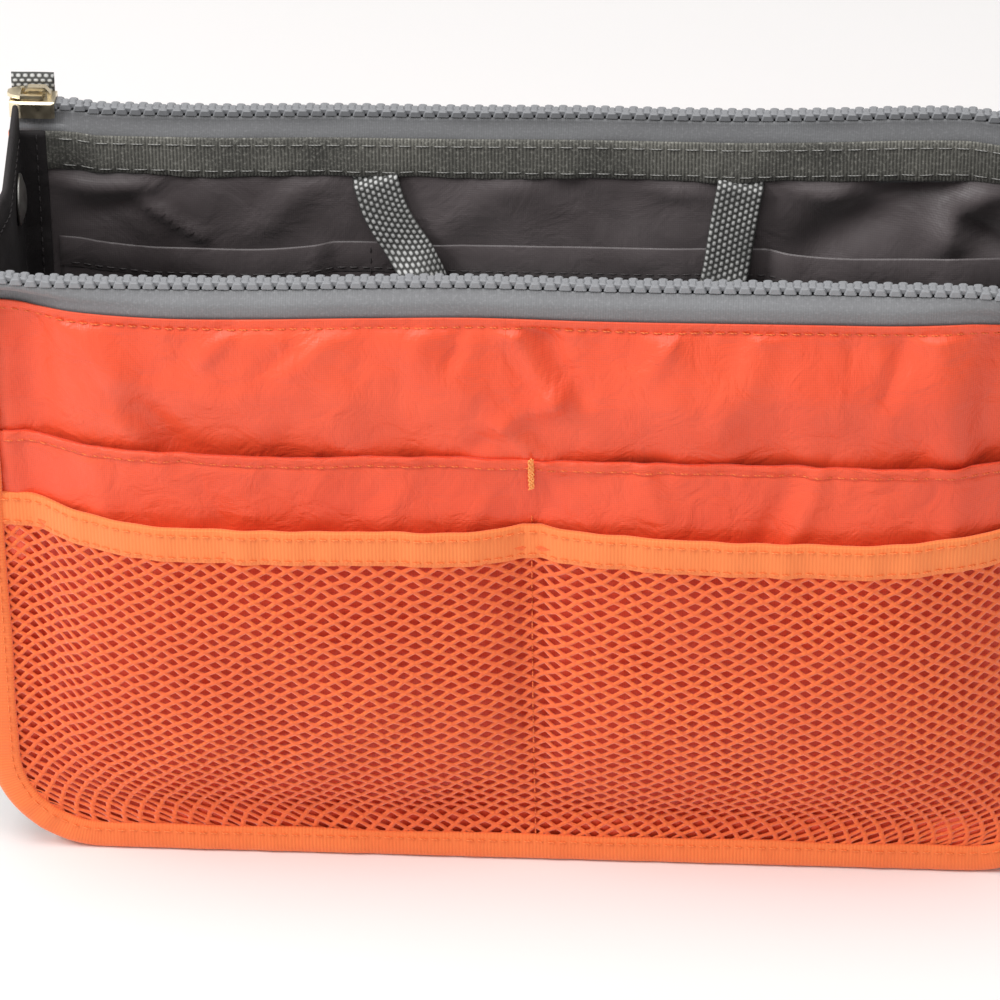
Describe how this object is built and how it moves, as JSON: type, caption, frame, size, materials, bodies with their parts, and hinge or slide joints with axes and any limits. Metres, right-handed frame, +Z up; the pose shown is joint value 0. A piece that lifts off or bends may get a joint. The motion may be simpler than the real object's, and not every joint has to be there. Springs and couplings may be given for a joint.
{
  "type": "purse organizer insert",
  "caption": "Soft purse organizer: zipped pouches on either side of an open lined middle, pleated gussets, slip and net pockets, webbing handles.",
  "frame": {"origin": "middle of the footprint, on the surface that the organizer stands on", "axes": "+X along the zips, -Y towards the front with the net pocket, +Z up"},
  "size_m": [0.28, 0.1228, 0.1745],
  "materials": {
    "orange_nylon": "plain weave nylon with a soft sheen",
    "orange_net": "knitted net",
    "orange_grosgrain": "ribbed tape",
    "charcoal_nylon": "smooth lining nylon",
    "charcoal_grosgrain": "ribbed tape",
    "grey_tape": "woven zip tape",
    "grey_webbing": "speckled webbing",
    "grey_acetal": "moulded, satin",
    "pale_gold": "bright, pale gold plating",
    "satin_nickel": "satin nickel plating"
  },
  "bodies": {
    "front_pouch": {"front_lining": "charcoal_nylon", "front_inner_pocket": "charcoal_nylon", "front_outer_panel": "orange_nylon", "front_slip_pocket": "orange_nylon", "front_edge_binding": "orange_grosgrain", "front_zip_outer_tape": "grey_tape", "front_zip_inner_tape": "grey_tape", "front_zip_outer_teeth": "grey_acetal", "front_zip_inner_teeth": "grey_acetal", "front_zip_top_stop": "grey_acetal", "front_zip_bottom_stop": "grey_acetal", "front_zip_end_tab": "grey_webbing", "front_cover_strip": "charcoal_grosgrain", "front_net_pocket": "orange_net", "front_net_pocket_binding": "orange_grosgrain", "left_gusset_corner": "charcoal_nylon", "right_gusset_corner": "charcoal_nylon"},
    "front_zip_slider_body": {"front_zip_slider": "pale_gold"},
    "front_zip_pull_body": {"front_zip_pull": "pale_gold"},
    "front_handle_body": {"front_handle": "grey_webbing"},
    "rear_pouch": {"rear_lining": "charcoal_nylon", "rear_inner_pocket": "charcoal_nylon", "rear_outer_panel": "orange_nylon", "rear_slip_pocket": "orange_nylon", "rear_edge_binding": "orange_grosgrain", "rear_zip_outer_tape": "grey_tape", "rear_zip_inner_tape": "grey_tape", "rear_zip_outer_teeth": "grey_acetal", "rear_zip_inner_teeth": "grey_acetal", "rear_zip_top_stop": "grey_acetal", "rear_zip_bottom_stop": "grey_acetal", "rear_zip_end_tab": "grey_webbing", "rear_cover_strip": "charcoal_grosgrain"},
    "rear_zip_slider_body": {"rear_zip_slider": "pale_gold"},
    "rear_zip_pull_body": {"rear_zip_pull": "pale_gold"},
    "rear_handle_body": {"rear_handle": "grey_webbing"},
    "left_gusset_front_body": {"left_gusset_front_half": "charcoal_nylon", "left_gusset_front_stud_cap": "satin_nickel", "left_gusset_front_stud": "satin_nickel"},
    "left_gusset_rear_body": {"left_gusset_rear_half": "charcoal_nylon", "left_gusset_rear_stud_cap": "satin_nickel", "left_gusset_rear_socket": "satin_nickel"},
    "right_gusset_front_body": {"right_gusset_front_half": "charcoal_nylon", "right_gusset_front_stud_cap": "satin_nickel", "right_gusset_front_stud": "satin_nickel"},
    "right_gusset_rear_body": {"right_gusset_rear_half": "charcoal_nylon", "right_gusset_rear_stud_cap": "satin_nickel", "right_gusset_rear_socket": "satin_nickel"},
    "base_front_body": {"base_front_half": "charcoal_nylon"},
    "base_rear_body": {"base_rear_half": "charcoal_nylon"}
  },
  "joints": [
    {"name": "gusset_fold", "type": "hinge", "parent": "front_pouch", "child": "left_gusset_front_body", "pos_m": [-0.1374, -0.0365, 0], "axis": [0, 0, -1], "range_deg": [0, 63.2], "deforming": ["left_gusset_corner", "right_gusset_corner"]},
    {"name": "left_gusset_crease", "type": "hinge", "parent": "left_gusset_front_body", "child": "left_gusset_rear_body", "pos_m": [-0.13457, 0.004, 0], "axis": [0, 0, 1], "range_deg": [0, 126.4]},
    {"name": "left_gusset_rear_seam", "type": "hinge", "parent": "left_gusset_rear_body", "child": "rear_pouch", "pos_m": [-0.1374, 0.0445, 0], "axis": [0, 0, -1], "range_deg": [0, 63.2]},
    {"name": "right_gusset_front_seam", "type": "hinge", "parent": "front_pouch", "child": "right_gusset_front_body", "pos_m": [0.1374, -0.0365, 0], "axis": [0, 0, 1], "range_deg": [0, 63.2]},
    {"name": "right_gusset_crease", "type": "hinge", "parent": "right_gusset_front_body", "child": "right_gusset_rear_body", "pos_m": [0.13457, 0.004, 0], "axis": [0, 0, -1], "range_deg": [0, 126.4]},
    {"name": "base_front_seam", "type": "hinge", "parent": "front_pouch", "child": "base_front_body", "pos_m": [0, -0.0365, 0.0026], "axis": [1, 0, 0], "range_deg": [0, 63.2]},
    {"name": "base_crease", "type": "hinge", "parent": "base_front_body", "child": "base_rear_body", "pos_m": [0, 0.004, 0.00543], "axis": [-1, 0, 0], "range_deg": [0, 126.4]},
    {"name": "front_zip_travel", "type": "slide", "parent": "front_pouch", "child": "front_zip_slider_body", "axis": [-1, 0, 0], "range_m": [0, 0.2638]},
    {"name": "front_zip_pull_turn", "type": "hinge", "parent": "front_zip_slider_body", "child": "front_zip_pull_body", "pos_m": [0.1313, -0.042, 0.17075], "axis": [0, -1, 0], "range_deg": [0, 180]},
    {"name": "front_handle_swing", "type": "hinge", "parent": "front_pouch", "child": "front_handle_body", "pos_m": [0, -0.0359, 0.1506], "axis": [1, 0, 0], "range_deg": [0, 170]},
    {"name": "rear_zip_travel", "type": "slide", "parent": "rear_pouch", "child": "rear_zip_slider_body", "axis": [1, 0, 0], "range_m": [0, 0.2638]},
    {"name": "rear_zip_pull_turn", "type": "hinge", "parent": "rear_zip_slider_body", "child": "rear_zip_pull_body", "pos_m": [-0.1313, 0.05, 0.17075], "axis": [0, 1, 0], "range_deg": [0, 180]},
    {"name": "rear_handle_swing", "type": "hinge", "parent": "rear_pouch", "child": "rear_handle_body", "pos_m": [0, 0.0439, 0.1506], "axis": [-1, 0, 0], "range_deg": [0, 170]}
  ],
  "couplings": [
    {"joint": "left_gusset_crease", "follows": "gusset_fold", "ratio": 2},
    {"joint": "left_gusset_rear_seam", "follows": "gusset_fold", "ratio": 1},
    {"joint": "right_gusset_front_seam", "follows": "gusset_fold", "ratio": 1},
    {"joint": "right_gusset_crease", "follows": "gusset_fold", "ratio": 2},
    {"joint": "base_front_seam", "follows": "gusset_fold", "ratio": 1},
    {"joint": "base_crease", "follows": "gusset_fold", "ratio": 2}
  ]
}
